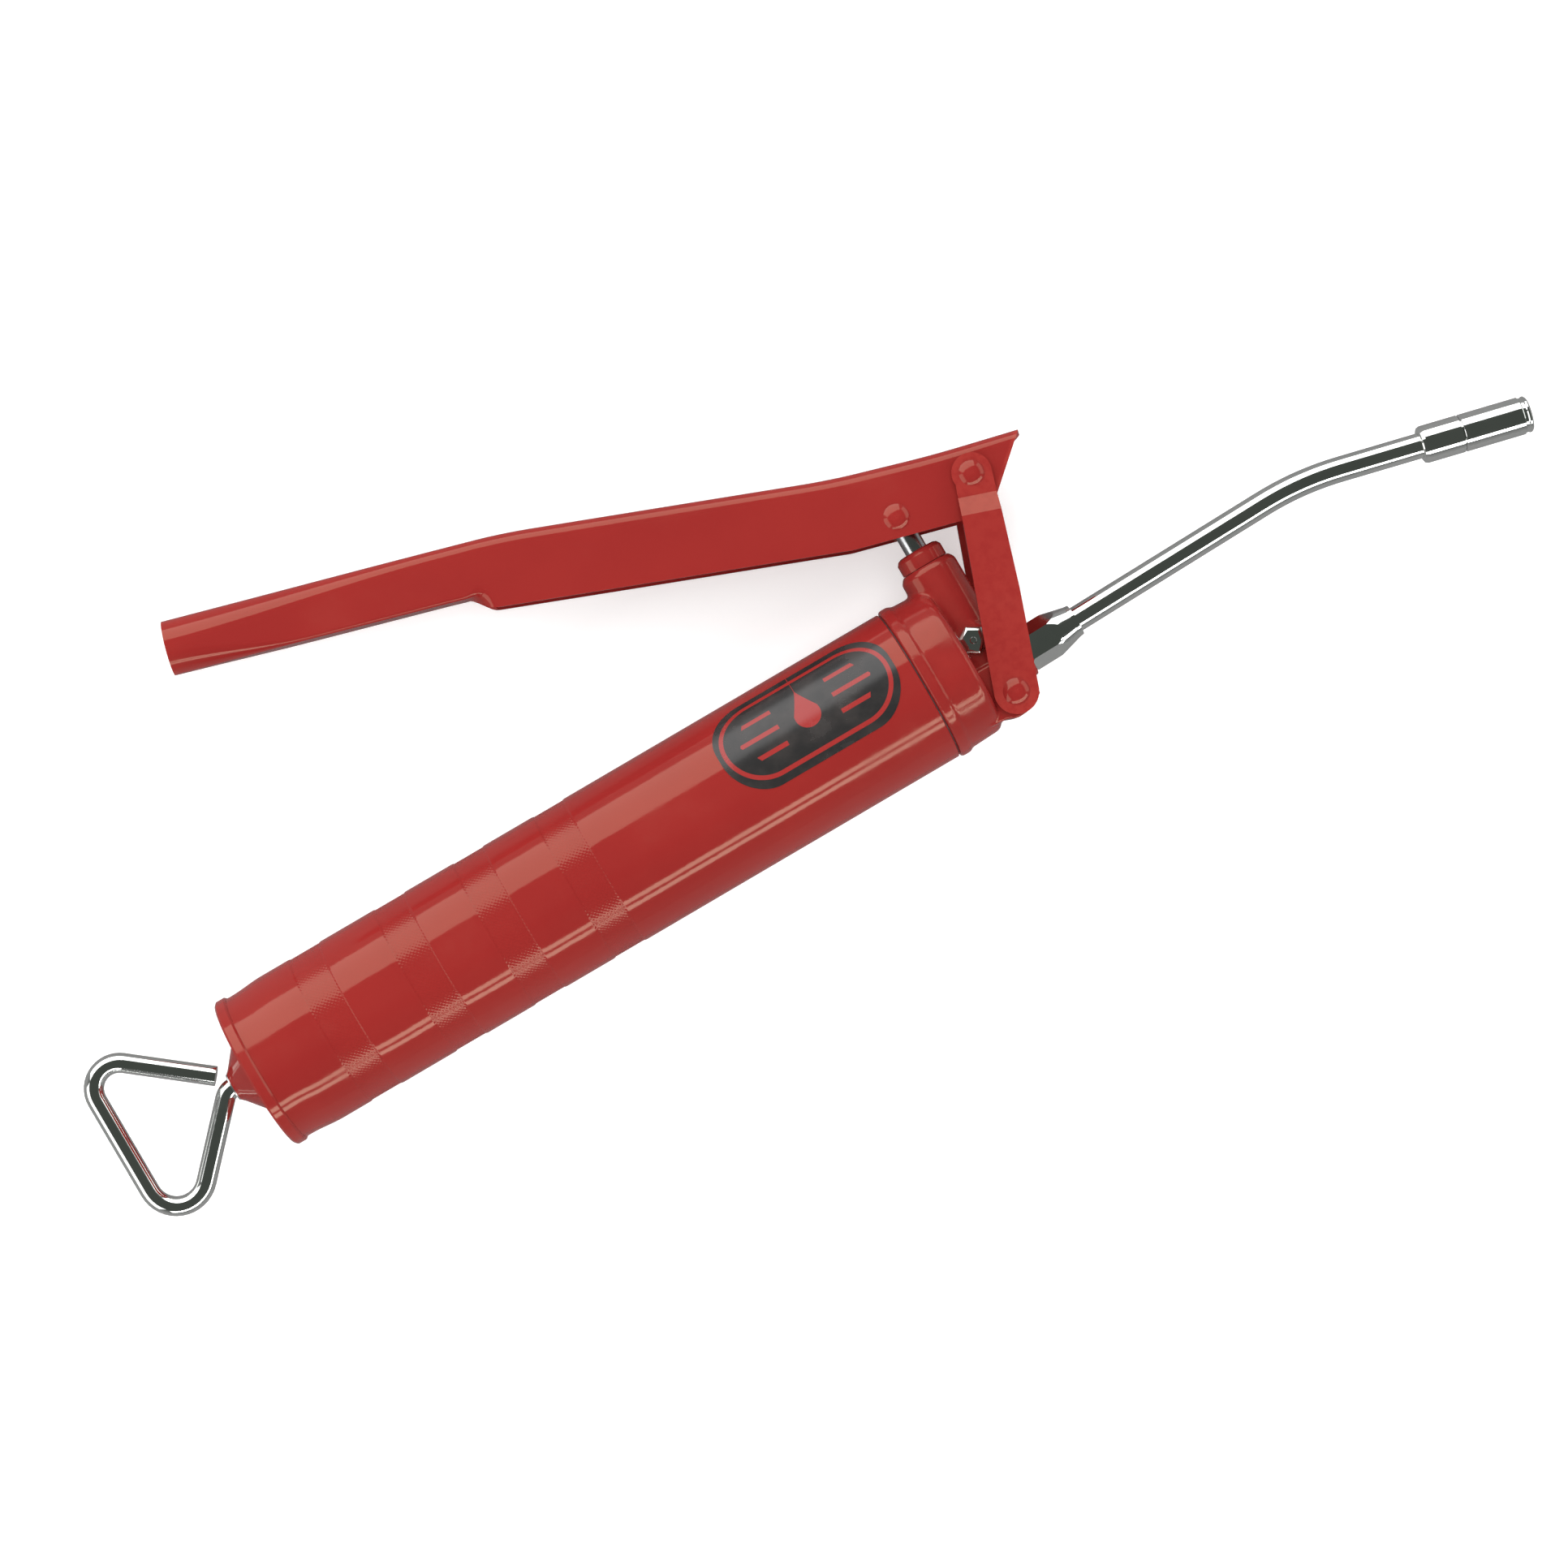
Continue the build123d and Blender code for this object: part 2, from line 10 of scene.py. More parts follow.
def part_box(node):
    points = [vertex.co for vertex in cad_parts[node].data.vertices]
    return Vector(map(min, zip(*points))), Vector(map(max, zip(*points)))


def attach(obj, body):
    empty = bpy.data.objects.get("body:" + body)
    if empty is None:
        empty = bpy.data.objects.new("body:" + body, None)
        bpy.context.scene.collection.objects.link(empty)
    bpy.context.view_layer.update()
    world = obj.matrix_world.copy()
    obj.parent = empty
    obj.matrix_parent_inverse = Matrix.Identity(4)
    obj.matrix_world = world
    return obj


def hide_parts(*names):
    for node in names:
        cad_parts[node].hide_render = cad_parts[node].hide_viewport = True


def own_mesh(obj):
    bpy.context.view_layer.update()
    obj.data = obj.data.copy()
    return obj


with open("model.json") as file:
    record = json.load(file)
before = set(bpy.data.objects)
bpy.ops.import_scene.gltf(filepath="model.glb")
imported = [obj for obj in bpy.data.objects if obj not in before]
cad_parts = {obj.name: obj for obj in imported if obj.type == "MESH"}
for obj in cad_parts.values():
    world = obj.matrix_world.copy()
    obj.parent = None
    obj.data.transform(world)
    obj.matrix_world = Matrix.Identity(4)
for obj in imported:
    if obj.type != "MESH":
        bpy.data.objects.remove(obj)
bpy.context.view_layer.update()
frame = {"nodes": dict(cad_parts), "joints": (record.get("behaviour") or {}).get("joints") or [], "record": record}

scene = bpy.context.scene
scene.view_settings.view_transform = "Standard"
print("frame loaded:", len(frame["nodes"]), "nodes")

# the gun's own directions: x along the barrel to the nozzle, y to the lever, z across the lever
joints = {joint["name"]: joint for joint in frame["joints"]}
gunOrigin = np.array(joints["barrel_unscrew"]["pos_m"])
gunZ = np.array(joints["lever_swing"]["axis"])
gunZ = gunZ / np.linalg.norm(gunZ)
gunX = np.array([1.0, 0.0, 0.0])
gunY = np.cross(gunZ, gunX)
gunTurn = Matrix(np.stack([gunX, gunY, gunZ], axis=1).tolist())


# millimetres in the gun's directions to metres in the scene: origin + x X + y Y + z Z
def toWorld(points):
    points = np.asarray(points, float) / 1000
    return gunOrigin + points[..., :1] * gunX + points[..., 1:2] * gunY + points[..., 2:3] * gunZ


# metres in the scene to millimetres in the gun's directions
def toGun(points):
    away = np.asarray(points, float) - gunOrigin
    return np.stack([away @ gunX, away @ gunY, away @ gunZ], axis=-1) * 1000


# camera
cameraLook = {
    "spot": (-96.28, -3.17, 1500.0),  # mm in the gun's directions
    "turn": (0.6251, -1.2717, -30.4053),  # degrees from looking straight down the gun's z
    "lens": 99.56,
    "sensor": 36.0,
}
cameraData = bpy.data.cameras.new("camera")
cameraData.lens = cameraLook["lens"]
cameraData.sensor_width = cameraLook["sensor"]
cameraData.clip_start = 0.05
cameraData.clip_end = 30
camera = bpy.data.objects.new("camera", cameraData)
cameraTurn = gunTurn @ Euler([math.radians(a) for a in cameraLook["turn"]]).to_matrix()
camera.matrix_world = Matrix.Translation(Vector(toWorld(cameraLook["spot"]))) @ cameraTurn.to_4x4()
scene.collection.objects.link(camera)
scene.camera = camera
print("camera set")

# light: each panel stands off from the barrel's middle, leaning from the gun's z by some degrees
# towards the lever or the nozzle; the unseen ones don't show in glossy surfaces
studio = {
    "softbox": {"to": "lever", "lean": 61.0, "away": 1.5, "size": (2.8, 1.32), "glow": 2.2, "seen": True},
    "stripUp": {"to": "lever", "lean": -57.5, "away": 1.3, "size": (2.6, 0.14), "glow": 5.0, "seen": True},
    "stripDown": {"to": "lever", "lean": -68.0, "away": 1.3, "size": (2.6, 0.14), "glow": 5.0, "seen": True},
    "fillHigh": {"to": "lever", "lean": 18.0, "away": 2.2, "size": (2.4, 2.4), "glow": 2.6, "seen": False},
    "fillLow": {"to": "lever", "lean": -48.0, "away": 2.0, "size": (2.4, 1.6), "glow": 1.4, "seen": False},
    "endBack": {"to": "nozzle", "lean": -66.0, "away": 1.6, "size": (0.9, 1.6), "glow": 1.6, "seen": True},
    "endFront": {"to": "nozzle", "lean": 68.0, "away": 1.6, "size": (0.7, 1.6), "glow": 1.3, "seen": True},
}
leanSides = {"lever": gunY, "nozzle": gunX}
midBarrel = toWorld([-80.0, 0.0, 0.0])


# a rectangular light that faces the barrel with an even glow and has its first side along it
def addPanel(name, look):
    data = bpy.data.lights.new(name, "AREA")
    data.shape = "RECTANGLE"
    run, rise = look["size"]
    data.size, data.size_y = run, rise
    data.energy = look["glow"] * math.pi * run * rise
    angle = math.radians(look["lean"])
    back = gunZ * math.cos(angle) + leanSides[look["to"]] * math.sin(angle)
    back = back / np.linalg.norm(back)
    side = gunX - back * np.dot(gunX, back)
    side = side / np.linalg.norm(side)
    turn = Matrix(np.stack([side, np.cross(back, side), back], axis=1).tolist())
    panel = bpy.data.objects.new(name, data)
    panel.matrix_world = Matrix.Translation(Vector(midBarrel + back * look["away"])) @ turn.to_4x4()
    panel.visible_glossy = look["seen"]
    scene.collection.objects.link(panel)


for name, look in studio.items():
    addPanel(name, look)


# adds nodes of the given kinds to a tree and returns them by name
def newNodes(tree, kinds):
    return {name: tree.nodes.new(kind) for name, kind in kinds.items()}


# the sky has its lower colour up to the horizon and its upper one from the height "upperFrom" on
skyLook = {"lower": (0.3, 0.3, 0.3), "upper": (0.062, 0.07, 0.062), "upperFrom": 0.72}
world = bpy.data.worlds.new("studio")
scene.world = world
world.use_nodes = True
sky = world.node_tree
sky.nodes.clear()
made = newNodes(sky, {
    "way": "ShaderNodeTexCoord", "split": "ShaderNodeSeparateXYZ", "ramp": "ShaderNodeValToRGB",
    "glow": "ShaderNodeBackground", "out": "ShaderNodeOutputWorld",
})
sky.links.new(made["way"].outputs["Generated"], made["split"].inputs[0])
sky.links.new(made["split"].outputs["Z"], made["ramp"].inputs[0])
lower, upper = made["ramp"].color_ramp.elements
lower.position = 0.0
lower.color = (*skyLook["lower"], 1)
upper.position = skyLook["upperFrom"]
upper.color = (*skyLook["upper"], 1)
sky.links.new(made["ramp"].outputs["Color"], made["glow"].inputs["Color"])
sky.links.new(made["glow"].outputs[0], made["out"].inputs[0])

# pale paper with a little glow of its own, which glossy surfaces see as a plain grey
floorLook = {"half": 4.0, "colour": (0.74, 0.74, 0.74), "inGloss": (0.2, 0.2, 0.2), "lift": 0.42}
floorMesh = bpy.data.meshes.new("floor")
half = floorLook["half"]
corners = [(-half, -half, 0), (half, -half, 0), (half, half, 0), (-half, half, 0)]
floorMesh.from_pydata(corners, [], [(0, 1, 2, 3)])
floor = bpy.data.objects.new("floor", floorMesh)
scene.collection.objects.link(floor)
floorPaint = bpy.data.materials.new("paperSweep")
floorPaint.use_nodes = True
paper = floorPaint.node_tree
paper.nodes.clear()
made = newNodes(paper, {
    "path": "ShaderNodeLightPath", "mix": "ShaderNodeMixShader", "pale": "ShaderNodeBsdfDiffuse",
    "grey": "ShaderNodeBsdfDiffuse", "lift": "ShaderNodeEmission",
    "both": "ShaderNodeAddShader", "out": "ShaderNodeOutputMaterial",
})
made["pale"].inputs["Color"].default_value = (*floorLook["colour"], 1)
made["grey"].inputs["Color"].default_value = (*floorLook["inGloss"], 1)
made["lift"].inputs["Strength"].default_value = floorLook["lift"]
paper.links.new(made["path"].outputs["Is Glossy Ray"], made["mix"].inputs[0])
paper.links.new(made["pale"].outputs[0], made["both"].inputs[0])
paper.links.new(made["lift"].outputs[0], made["both"].inputs[1])
paper.links.new(made["both"].outputs[0], made["mix"].inputs[1])
paper.links.new(made["grey"].outputs[0], made["mix"].inputs[2])
paper.links.new(made["mix"].outputs[0], made["out"].inputs[0])
floorMesh.materials.append(floorPaint)
print("studio lit")


# effects that several finishes share
# a socket gets either a link, or a plain value with a colour's alpha filled in
def feed(tree, socket, value):
    if isinstance(value, bpy.types.NodeSocket):
        tree.links.new(value, socket)
    elif socket.type == "RGBA":
        socket.default_value = (*value, 1)
    else:
        socket.default_value = value


def newGroup(name, inputs, outputs):
    group = bpy.data.node_groups.new(name, "ShaderNodeTree")
    for label, kind, value in inputs:
        socket = group.interface.new_socket(label, in_out="INPUT", socket_type=kind)
        if value is not None:
            socket.default_value = value
    for label, kind in outputs:
        group.interface.new_socket(label, in_out="OUTPUT", socket_type=kind)
    return group, group.nodes.new("NodeGroupInput").outputs, group.nodes.new("NodeGroupOutput").inputs


def addMath(tree, kind, *values):
    node = tree.nodes.new("ShaderNodeMath")
    node.operation = kind
    for socket, value in zip(node.inputs, values):
        feed(tree, socket, value)
    return node.outputs[0]


# size is a link or the width of a blotch in metres
def addNoise(tree, vector, size, detail, rough):
    node = tree.nodes.new("ShaderNodeTexNoise")
    node.inputs["Detail"].default_value = detail
    node.inputs["Roughness"].default_value = rough
    tree.links.new(vector, node.inputs["Vector"])
    scale = 1 / size if isinstance(size, float) else addMath(tree, "DIVIDE", 1.0, size)
    feed(tree, node.inputs["Scale"], scale)
    return node.outputs["Fac"]


# takes value from low..high to toLow..toHigh along a smooth step
def addRange(tree, value, low, high, toLow, toHigh):
    node = tree.nodes.new("ShaderNodeMapRange")
    node.interpolation_type = "SMOOTHSTEP"
    for socket, part in zip(node.inputs, (value, low, high, toLow, toHigh)):
        feed(tree, socket, part)
    return node.outputs[0]


def addMix(tree, share, first, second):
    node = tree.nodes.new("ShaderNodeMix")
    node.data_type = "RGBA"
    for index, part in ((0, share), (6, first), (7, second)):  # the share and the two colours
        feed(tree, node.inputs[index], part)
    return node.outputs[2]


# two colours in soft blotches, with a finer mottle over them
toneGroup, given, wanted = newGroup(
    "tone",
    [("Vector", "NodeSocketVector", None), ("Colour", "NodeSocketColor", None),
     ("Shade", "NodeSocketColor", None), ("Size", "NodeSocketFloat", 0.03)],
    [("Colour", "NodeSocketColor")],
)
wide = addNoise(toneGroup, given["Vector"], given["Size"], 3.0, 0.55)
share = addRange(toneGroup, wide, 0.35, 0.68, 0.0, 1.0)
toneGroup.links.new(addMix(toneGroup, share, given["Colour"], given["Shade"]), wanted["Colour"])

# the faint ripple of sprayed and baked enamel, as a height
rippleGroup, given, wanted = newGroup(
    "enamelRipple",
    [("Vector", "NodeSocketVector", None), ("Size", "NodeSocketFloat", 0.0016)],
    [("Height", "NodeSocketFloat")],
)
fine = addNoise(rippleGroup, given["Vector"], given["Size"], 1.5, 0.4)
slow = addNoise(rippleGroup, given["Vector"], addMath(rippleGroup, "MULTIPLY", given["Size"], 6.0), 1.0, 0.4)
rippleGroup.links.new(addMath(rippleGroup, "MULTIPLY_ADD", slow, 1.6, fine), wanted["Height"])

# drawn or ground lines: noise squeezed across the run of the wire or the cut
grainGroup, given, wanted = newGroup(
    "drawnGrain",
    [("Vector", "NodeSocketVector", None), ("Stretch", "NodeSocketVector", (1.0, 30.0, 30.0)),
     ("Size", "NodeSocketFloat", 0.01)],
    [("Value", "NodeSocketFloat")],
)
squeeze = grainGroup.nodes.new("ShaderNodeVectorMath")
squeeze.operation = "MULTIPLY"
grainGroup.links.new(given["Vector"], squeeze.inputs[0])
grainGroup.links.new(given["Stretch"], squeeze.inputs[1])
grainGroup.links.new(addNoise(grainGroup, squeeze.outputs[0], given["Size"], 4.0, 0.6), wanted["Value"])

# finger marks and fine dust, as a mask that lifts the roughness
smudgeGroup, given, wanted = newGroup(
    "smudges",
    [("Vector", "NodeSocketVector", None), ("Size", "NodeSocketFloat", 0.02),
     ("Dust", "NodeSocketFloat", 0.4)],
    [("Mask", "NodeSocketFloat")],
)
prints = addNoise(smudgeGroup, given["Vector"], given["Size"], 5.0, 0.65)
marks = addRange(smudgeGroup, prints, 0.48, 0.72, 0.0, 1.0)
dust = addNoise(smudgeGroup, given["Vector"], 0.0006, 2.0, 0.5)
specks = addRange(smudgeGroup, dust, 0.66, 0.78, 0.0, 1.0)
smudgeGroup.links.new(addMath(smudgeGroup, "MULTIPLY_ADD", specks, given["Dust"], marks), wanted["Mask"])

# where the surface is sharply convex, broken up by noise: a painted edge highlight, a lighter colour standing in
# for the light that sharp edges catch
edgeHighlightGroup, given, wanted = newGroup(
    "paintedEdgeHighlight",
    [("Vector", "NodeSocketVector", None), ("Start", "NodeSocketFloat", 0.53),
     ("Full", "NodeSocketFloat", 0.6)],
    [("Mask", "NodeSocketFloat")],
)
shape = edgeHighlightGroup.nodes.new("ShaderNodeNewGeometry")
sharp = addRange(edgeHighlightGroup, shape.outputs["Pointiness"], given["Start"], given["Full"], 0.0, 1.0)
patches = addNoise(edgeHighlightGroup, given["Vector"], 0.004, 4.0, 0.6)
broken = addRange(edgeHighlightGroup, patches, 0.35, 0.6, 0.25, 1.0)
edgeHighlightGroup.links.new(addMath(edgeHighlightGroup, "MULTIPLY", sharp, broken), wanted["Mask"])
print("effects ready")


def addGroup(tree, group, vector, values):
    node = tree.nodes.new("ShaderNodeGroup")
    node.node_tree = group
    tree.links.new(vector, node.inputs["Vector"])
    for label, value in values.items():
        feed(tree, node.inputs[label], value)
    return node.outputs[0]


def newFinish(name):
    material = bpy.data.materials.new(name)
    material.use_nodes = True
    tree = material.node_tree
    tree.nodes.clear()
    out = tree.nodes.new("ShaderNodeOutputMaterial")
    shader = tree.nodes.new("ShaderNodeBsdfPrincipled")
    tree.links.new(shader.outputs[0], out.inputs[0])
    place = tree.nodes.new("ShaderNodeTexCoord").outputs["Object"]
    return material, tree, shader, place


# depth is in metres
def addBump(tree, shader, height, depth):
    bump = tree.nodes.new("ShaderNodeBump")
    bump.inputs["Distance"].default_value = depth
    bump.inputs["Strength"].default_value = 1.0
    tree.links.new(height, bump.inputs["Height"])
    tree.links.new(bump.outputs[0], shader.inputs["Normal"])


# a blotchy tone with a painted highlight on sharp edges
def addTone(tree, shader, place, look):
    values = {"Colour": look["colour"], "Shade": look["shade"], "Size": look["blotch"]}
    tone = addGroup(tree, toneGroup, place, values)
    edgeHighlight = addGroup(tree, edgeHighlightGroup, place, {"Start": look["highlightStart"], "Full": look["highlightFull"]})
    highlightShare = addMath(tree, "MULTIPLY", edgeHighlight, look["edgeHighlight"])
    # sharp convex edges take the lighter colour: a painted edge highlight
    tree.links.new(addMix(tree, highlightShare, tone, look["highlightColour"]), shader.inputs["Base Color"])


# finishes
def makePaint(name, look):
    material, tree, shader, place = newFinish(name)
    addTone(tree, shader, place, look)
    smudge = addGroup(tree, smudgeGroup, place, {"Size": look["smudge"], "Dust": look["dust"]})
    rough = addRange(tree, smudge, 0.0, 1.0, look["rough"], look["smudged"])
    tree.links.new(rough, shader.inputs["Roughness"])
    ripple = addGroup(tree, rippleGroup, place, {"Size": look["ripple"]})
    addBump(tree, shader, ripple, look["rippleDepth"])
    shader.inputs["IOR"].default_value = look["gloss"]
    shader.inputs["Specular Tint"].default_value = (*look["tint"], 1)
    return material


def makeMetal(name, look):
    material, tree, shader, place = newFinish(name)
    addTone(tree, shader, place, look)
    shader.inputs["Metallic"].default_value = 1.0
    grain = addGroup(tree, grainGroup, place, {"Stretch": look["stretch"], "Size": look["grain"]})
    smudge = addGroup(tree, smudgeGroup, place, {"Size": look["smudge"], "Dust": look["dust"]})
    both = addMath(tree, "MULTIPLY_ADD", grain, look["grainShare"], smudge)
    rough = addRange(tree, both, 0.0, 1.6, look["rough"], look["smudged"])
    tree.links.new(rough, shader.inputs["Roughness"])
    addBump(tree, shader, grain, look["grainDepth"])
    return material


# each finish's lighter edge colour, with its share and its pointiness range, is a painted highlight on sharp
# convex edges
paints = {
    "redEnamel": {
        "colour": (0.242, 0.018, 0.0162), "shade": (0.228, 0.0163, 0.0152), "blotch": 0.05,
        "highlightColour": (0.36, 0.045, 0.035), "edgeHighlight": 0.35, "highlightStart": 0.54, "highlightFull": 0.66,
        "smudge": 0.03, "dust": 0.25, "rough": 0.09, "smudged": 0.17,
        "ripple": 0.0018, "rippleDepth": 0.000012, "gloss": 1.5, "tint": (1.0, 0.86, 0.62),
    },
    "redCasting": {
        "colour": (0.242, 0.018, 0.0162), "shade": (0.212, 0.0152, 0.0142), "blotch": 0.02,
        "highlightColour": (0.36, 0.045, 0.035), "edgeHighlight": 0.35, "highlightStart": 0.54, "highlightFull": 0.66,
        "smudge": 0.02, "dust": 0.3, "rough": 0.12, "smudged": 0.22,
        "ripple": 0.0011, "rippleDepth": 0.00002, "gloss": 1.5, "tint": (1.0, 0.86, 0.62),
    },
    "mouldedRubber": {
        "colour": (0.022, 0.022, 0.023), "shade": (0.034, 0.033, 0.032), "blotch": 0.008,
        "highlightColour": (0.06, 0.06, 0.06), "edgeHighlight": 0.5, "highlightStart": 0.52, "highlightFull": 0.62,
        "smudge": 0.006, "dust": 0.5, "rough": 0.5, "smudged": 0.72,
        "ripple": 0.0007, "rippleDepth": 0.00003, "gloss": 1.5, "tint": (1.0, 1.0, 1.0),
    },
}
# on the metals too, the lighter edge colour is a painted edge highlight
metals = {
    "brightPlate": {
        "colour": (0.83, 0.84, 0.82), "shade": (0.76, 0.78, 0.76), "blotch": 0.02,
        "highlightColour": (0.9, 0.9, 0.88), "edgeHighlight": 0.3, "highlightStart": 0.52, "highlightFull": 0.62,
        "stretch": (1.0, 14.0, 14.0), "grain": 0.012, "grainShare": 0.35, "grainDepth": 0.000004,
        "smudge": 0.012, "dust": 0.3, "rough": 0.05, "smudged": 0.16,
    },
    "groundSteel": {
        "colour": (0.60, 0.61, 0.62), "shade": (0.52, 0.53, 0.54), "blotch": 0.008,
        "highlightColour": (0.78, 0.78, 0.78), "edgeHighlight": 0.4, "highlightStart": 0.52, "highlightFull": 0.62,
        "stretch": (8.0, 30.0, 8.0), "grain": 0.006, "grainShare": 0.8, "grainDepth": 0.000008,
        "smudge": 0.006, "dust": 0.3, "rough": 0.16, "smudged": 0.34,
    },
    "drawnWire": {
        "colour": (0.34, 0.35, 0.37), "shade": (0.27, 0.27, 0.28), "blotch": 0.01,
        "highlightColour": (0.55, 0.55, 0.55), "edgeHighlight": 0.4, "highlightStart": 0.52, "highlightFull": 0.62,
        "stretch": (6.0, 6.0, 6.0), "grain": 0.004, "grainShare": 0.8, "grainDepth": 0.00001,
        "smudge": 0.01, "dust": 0.3, "rough": 0.24, "smudged": 0.42,
    },
    "clearZinc": {
        "colour": (0.62, 0.62, 0.60), "shade": (0.52, 0.54, 0.56), "blotch": 0.006,
        "highlightColour": (0.75, 0.75, 0.74), "edgeHighlight": 0.5, "highlightStart": 0.52, "highlightFull": 0.62,
        "stretch": (3.0, 3.0, 3.0), "grain": 0.003, "grainShare": 1.0, "grainDepth": 0.00002,
        "smudge": 0.005, "dust": 0.5, "rough": 0.3, "smudged": 0.5,
    },
}
finishes = {name: makePaint(name, look) for name, look in paints.items()}
finishes.update({name: makeMetal(name, look) for name, look in metals.items()})

# printed label: a round-ended film with a drop between plain bars, drawn round the barrel
labelLook = {
    "middle": -41.0, "turn": 25.0, "radius": 28.35,  # mm along the barrel, degrees towards the lever, mm
    "length": 68.0, "height": 34.0, "border": 2.4, "line": 0.7, "fade": 0.18,
    "drop": 6.2, "dropShift": -1.6, "bowl": 0.74, "tip": 1.75, "shoulder": 0.86, "point": 1.25, "join": 0.22,
    "barGap": 3.4, "barWidth": 1.5, "barStart": 10.5, "barEnd": 25.5, "barTaper": 0.55,
    "ink": (0.018, 0.017, 0.017), "inkShade": (0.03, 0.026, 0.025), "red": (0.268, 0.0185, 0.0165),
    "blotch": 0.01, "smudge": 0.02, "dust": 0.25, "rough": 0.22, "smudged": 0.36,
    "ripple": 0.0018, "rippleDepth": 0.000012,
}


def makeLabel(look):
    material, tree, shader, place = newFinish("labelInk")
    fade = look["fade"]

    def work(kind, *values):
        return addMath(tree, kind, *values)

    def reach(first, second):  # the square root of the sum of the two squares
        return work("SQRT", work("ADD", work("POWER", first, 2.0), work("POWER", second, 2.0)))

    def below(value, limit):  # 1 up to the limit and 0 past it
        return addRange(tree, value, limit, limit + fade, 1.0, 0.0)

    turn = tree.nodes.new("ShaderNodeMapping")
    turn.vector_type = "TEXTURE"
    turn.inputs["Location"].default_value = Vector(toWorld([look["middle"], 0.0, 0.0]))
    lean = Matrix.Rotation(math.radians(-look["turn"]), 3, "X")
    turn.inputs["Rotation"].default_value = (gunTurn @ lean).to_euler()
    tree.links.new(place, turn.inputs["Vector"])
    split = tree.nodes.new("ShaderNodeSeparateXYZ")
    tree.links.new(turn.outputs[0], split.inputs[0])
    along = work("MULTIPLY", split.outputs["X"], 1000.0)
    angle = work("ARCTAN2", split.outputs["Y"], split.outputs["Z"])
    across = work("MULTIPLY", angle, look["radius"])
    far = work("ABSOLUTE", along)
    high = work("ABSOLUTE", across)
    # distance from the round-ended outline: how far a point is from the middle run, less the end's radius
    radius = look["height"] / 2
    past = work("MAXIMUM", work("SUBTRACT", far, look["length"] / 2 - radius), 0.0)
    inset = work("SUBTRACT", radius - look["border"], reach(past, high))
    ring = below(work("ABSOLUTE", inset), look["line"])
    # drop: a circle below, and above it two arcs that meet in a point
    lift = work("SUBTRACT", across, look["dropShift"])
    bowl = work("SUBTRACT", reach(along, lift), look["drop"] * look["bowl"])
    left = work("MAXIMUM", work("SUBTRACT", 1.0, work("DIVIDE", lift, look["drop"] * look["tip"])), 0.0)
    taper = work("MULTIPLY", work("POWER", left, look["point"]), look["drop"] * look["shoulder"])
    above = work("SUBTRACT", look["drop"] * look["join"], lift)
    drop = work("MINIMUM", bowl, work("MAXIMUM", work("SUBTRACT", far, taper), above))
    dropMask = below(drop, 0.0)
    # bars: three plain stripes each side of the drop, the outer ones shorter
    wave = work("PINGPONG", work("ADD", across, look["barGap"] * 10), look["barGap"])
    stripe = below(wave, look["barWidth"] / 2)
    inRows = below(high, look["barGap"] * 2.5)
    shorter = work("SUBTRACT", look["barEnd"], work("MULTIPLY", high, look["barTaper"]))
    started = addRange(tree, far, look["barStart"], look["barStart"] + fade, 0.0, 1.0)
    inBars = work("MULTIPLY", started, below(work("SUBTRACT", far, shorter), 0.0))
    bars = work("MULTIPLY", work("MULTIPLY", stripe, inRows), inBars)
    marks = work("MAXIMUM", work("MAXIMUM", ring, dropMask), bars)
    values = {"Colour": look["ink"], "Shade": look["inkShade"], "Size": look["blotch"]}
    ink = addGroup(tree, toneGroup, place, values)
    tree.links.new(addMix(tree, marks, ink, look["red"]), shader.inputs["Base Color"])
    smudge = addGroup(tree, smudgeGroup, place, {"Size": look["smudge"], "Dust": look["dust"]})
    rough = addRange(tree, smudge, 0.0, 1.0, look["rough"], look["smudged"])
    tree.links.new(rough, shader.inputs["Roughness"])
    ripple = addGroup(tree, rippleGroup, place, {"Size": look["ripple"]})
    addBump(tree, shader, ripple, look["rippleDepth"])
    return material


finishes["labelInk"] = makeLabel(labelLook)
slotFinish = {
    "red_paint": "redEnamel", "chrome_plate": "brightPlate", "bright_steel": "groundSteel",
    "spring_steel": "drawnWire", "zinc_plate": "clearZinc", "black_rubber": "mouldedRubber",
    "label_ink": "labelInk",
}
castNodes = ("head_casting", "gland_nut")
for part in frame["record"]["subparts"]:
    node = frame["nodes"][part["node"]]
    finish = "redCasting" if part["node"] in castNodes else slotFinish[part["material_slot"]]
    if not node.material_slots:
        node.data.materials.append(None)
    for place in node.material_slots:
        place.material = finishes[finish]
print("finishes assigned")


